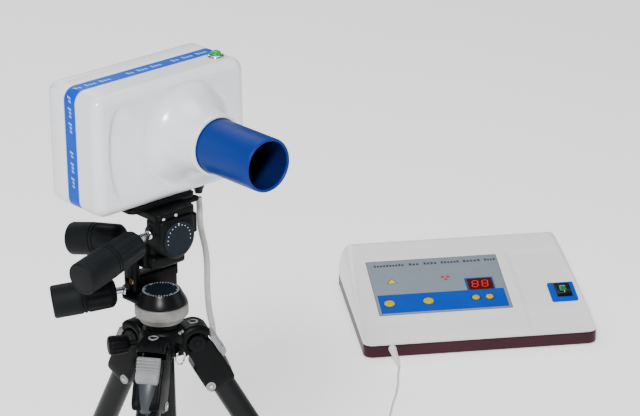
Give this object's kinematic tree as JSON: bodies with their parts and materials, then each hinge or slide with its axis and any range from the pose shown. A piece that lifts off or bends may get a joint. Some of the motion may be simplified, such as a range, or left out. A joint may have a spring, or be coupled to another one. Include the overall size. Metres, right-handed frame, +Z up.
{
  "type": "intraoral x-ray unit",
  "caption": "Portable x-ray head with aiming cone on a three-way head and folding tripod, with a sloping desk console, head cable and hand switch.",
  "frame": {"origin": "on the floor, at the centre of the footprint of the whole set (tripod, x-ray head and console, cords left out)", "axes": "+Z up; +X along the long side of the x-ray head, from the tripod towards the console; the aiming cone points to -Y"},
  "size_m": [1.389, 0.8856, 0.7219],
  "materials": {
    "white_housing": "glossy white moulded plastic",
    "blue_band": "satin blue band",
    "blue_cone": "satin royal blue plastic",
    "lead": "dull grey lead",
    "tube_glass": "clear glass",
    "tank_metal": "grey painted metal",
    "green_button": "translucent green plastic",
    "chrome": "polished chrome",
    "black_plastic": "satin black plastic",
    "black_casting": "black painted casting",
    "ring_grey": "dull grey aluminium",
    "latch_grey": "grey ribbed plastic",
    "tube_black": "black anodised tube",
    "rubber": "black rubber",
    "maroon_base": "dark maroon plastic",
    "panel_grey": "grey printed overlay",
    "display_red": "dark red window",
    "key_yellow": "yellow plastic",
    "rocker_black": "black plastic",
    "board_green": "circuit board",
    "grey_cable": "grey pvc sheath",
    "white_cord": "white pvc sheath",
    "socket_black": "black plastic",
    "switch_blue": "blue plastic"
  },
  "bodies": {
    "stand_frame": {"shoulder": "black_casting", "hook_ring": "chrome", "console_base": "maroon_base", "console_cover": "white_housing", "control_panel": "panel_grey", "display_window": "display_red", "switch_bezel": "blue_band", "console_board": "board_green", "cord_relief": "white_cord", "rear_socket_plate": "socket_black", "head_cable": "grey_cable", "head_cable_coil": "grey_cable", "cable_connector": "socket_black", "hand_cord": "white_cord", "hand_cord_coil": "white_cord", "hand_switch": "white_housing"},
    "column": {"center_column": "tube_black", "base_ring": "ring_grey"},
    "column_lock": {"column_knob": "black_plastic"},
    "pan": {"pan_tower": "black_casting"},
    "pan_lock": {"pan_handle": "black_plastic"},
    "front_tilt": {"tilt_body": "black_casting"},
    "front_tilt_lock": {"front_tilt_handle": "black_plastic"},
    "xray_head": {"plate_holder": "black_casting", "camera_plate": "black_casting", "head_front_cover": "white_housing", "head_rear_cover": "white_housing", "seam_band": "blue_band", "aiming_cone": "blue_cone", "collimator_disc": "lead", "xray_tube": "tube_glass", "high_voltage_tank": "tank_metal", "button_bezel": "chrome", "head_cable_gland": "black_plastic"},
    "side_tilt_lock": {"side_tilt_handle": "black_plastic"},
    "quick_release": {"release_lever": "black_casting"},
    "ready_button": {"ready_button": "green_button"},
    "power_rocker": {"power_rocker": "rocker_black"},
    "hand_switch_button": {"hand_switch_button": "switch_blue"},
    "leg_1": {"leg_casting_1": "black_casting", "upper_tube_1": "tube_black"},
    "lower_leg_1": {"lower_tube_1": "tube_black", "rubber_foot_1": "rubber"},
    "leg_latch_1": {"leg_latch_1": "latch_grey"},
    "leg_2": {"leg_casting_2": "black_casting", "upper_tube_2": "tube_black"},
    "lower_leg_2": {"lower_tube_2": "tube_black", "rubber_foot_2": "rubber"},
    "leg_latch_2": {"leg_latch_2": "latch_grey"},
    "leg_3": {"leg_casting_3": "black_casting", "upper_tube_3": "tube_black"},
    "lower_leg_3": {"lower_tube_3": "tube_black", "rubber_foot_3": "rubber"},
    "leg_latch_3": {"leg_latch_3": "latch_grey"},
    "key_1": {"key_1": "key_yellow"},
    "key_2": {"key_2": "key_yellow"},
    "key_3": {"key_3": "key_yellow"},
    "key_4": {"key_4": "key_yellow"}
  },
  "joints": [
    {"name": "leg_1_fold", "type": "hinge", "parent": "stand_frame", "child": "leg_1", "pos_m": [-0.50626, -0.30473, 0.4116], "axis": [0.5807, -0.8141, 0], "range_deg": [0, 28.4]},
    {"name": "leg_1_extend", "type": "slide", "parent": "leg_1", "child": "lower_leg_1", "axis": [-0.3872, -0.2762, -0.8796], "range_m": [0, 0.22]},
    {"name": "leg_1_latch", "type": "slide", "parent": "leg_1", "child": "leg_latch_1", "axis": [-0.7161, -0.5108, 0.4756], "range_m": [0, 0.004], "stiffness_N_per_m": 2000},
    {"name": "leg_2_fold", "type": "hinge", "parent": "stand_frame", "child": "leg_2", "pos_m": [-0.44557, -0.29889, 0.4116], "axis": [0.4147, 0.91, 0], "range_deg": [0, 28.4]},
    {"name": "leg_2_extend", "type": "slide", "parent": "leg_2", "child": "lower_leg_2", "axis": [0.4328, -0.1972, -0.8796], "range_m": [0, 0.22]},
    {"name": "leg_2_latch", "type": "slide", "parent": "leg_2", "child": "leg_latch_2", "axis": [0.8004, -0.3648, 0.4756], "range_m": [0, 0.004], "stiffness_N_per_m": 2000},
    {"name": "leg_3_fold", "type": "hinge", "parent": "stand_frame", "child": "leg_3", "pos_m": [-0.48098, -0.24925, 0.4116], "axis": [-0.9954, -0.0958, 0], "range_deg": [0, 28.4]},
    {"name": "leg_3_extend", "type": "slide", "parent": "leg_3", "child": "lower_leg_3", "axis": [-0.0456, 0.4734, -0.8796], "range_m": [0, 0.22]},
    {"name": "leg_3_latch", "type": "slide", "parent": "leg_3", "child": "leg_latch_3", "axis": [-0.0843, 0.8756, 0.4756], "range_m": [0, 0.004], "stiffness_N_per_m": 2000},
    {"name": "column_lift", "type": "slide", "parent": "stand_frame", "child": "column", "axis": [0, 0, 1], "range_m": [0, 0.2]},
    {"name": "column_lock_turn", "type": "hinge", "parent": "stand_frame", "child": "column_lock", "pos_m": [-0.52215, -0.26159, 0.4146], "axis": [-0.891, 0.454, 0], "range_deg": [0, 180]},
    {"name": "head_pan", "type": "hinge", "parent": "column", "child": "pan", "pos_m": [-0.4776, -0.28429, 0.46], "axis": [0, 0, 1], "range_deg": [-90, 90], "deforming": ["head_cable"]},
    {"name": "pan_lock_turn", "type": "hinge", "parent": "pan", "child": "pan_lock", "pos_m": [-0.5016, -0.25329, 0.473], "axis": [-0.8259, 0.5509, -0.12], "range_deg": [-90, 0]},
    {"name": "front_tilt", "type": "hinge", "parent": "pan", "child": "front_tilt", "pos_m": [-0.4666, -0.25329, 0.51], "axis": [1, 0, 0], "range_deg": [-30, 40]},
    {"name": "front_tilt_lock_turn", "type": "hinge", "parent": "front_tilt", "child": "front_tilt_lock", "pos_m": [-0.4786, -0.23679, 0.5215], "axis": [-0.3661, 0.9174, -0.1561], "range_deg": [-90, 0]},
    {"name": "side_tilt", "type": "hinge", "parent": "front_tilt", "child": "xray_head", "pos_m": [-0.4657, -0.28429, 0.5383], "axis": [0, 1, 0], "range_deg": [-30, 30]},
    {"name": "side_tilt_lock_turn", "type": "hinge", "parent": "xray_head", "child": "side_tilt_lock", "pos_m": [-0.4866, -0.28489, 0.5455], "axis": [-0.9742, -0.165, -0.154], "range_deg": [-90, 0]},
    {"name": "quick_release_turn", "type": "hinge", "parent": "xray_head", "child": "quick_release", "pos_m": [-0.4306, -0.27229, 0.563], "axis": [0, 0, 1], "range_deg": [-50, 0]},
    {"name": "ready_button_press", "type": "slide", "parent": "xray_head", "child": "ready_button", "axis": [0, 0, -1], "range_m": [0, 0.002], "stiffness_N_per_m": 400},
    {"name": "power_rocker_tip", "type": "hinge", "parent": "stand_frame", "child": "power_rocker", "pos_m": [0.57524, 0.12636, 0.0397], "axis": [0.8306, -0.5569, 0], "range_deg": [0, 14]},
    {"name": "key_1_press", "type": "slide", "parent": "stand_frame", "child": "key_1", "axis": [0.0933, 0.1392, -0.9859], "range_m": [0, 0.001], "stiffness_N_per_m": 400},
    {"name": "key_2_press", "type": "slide", "parent": "stand_frame", "child": "key_2", "axis": [0.0933, 0.1392, -0.9859], "range_m": [0, 0.001], "stiffness_N_per_m": 400},
    {"name": "key_3_press", "type": "slide", "parent": "stand_frame", "child": "key_3", "axis": [0.0933, 0.1392, -0.9859], "range_m": [0, 0.001], "stiffness_N_per_m": 400},
    {"name": "key_4_press", "type": "slide", "parent": "stand_frame", "child": "key_4", "axis": [0.0933, 0.1392, -0.9859], "range_m": [0, 0.001], "stiffness_N_per_m": 400},
    {"name": "hand_switch_press", "type": "slide", "parent": "stand_frame", "child": "hand_switch_button", "axis": [0.722, 0.6919, 0], "range_m": [0, 0.003], "stiffness_N_per_m": 500}
  ]
}
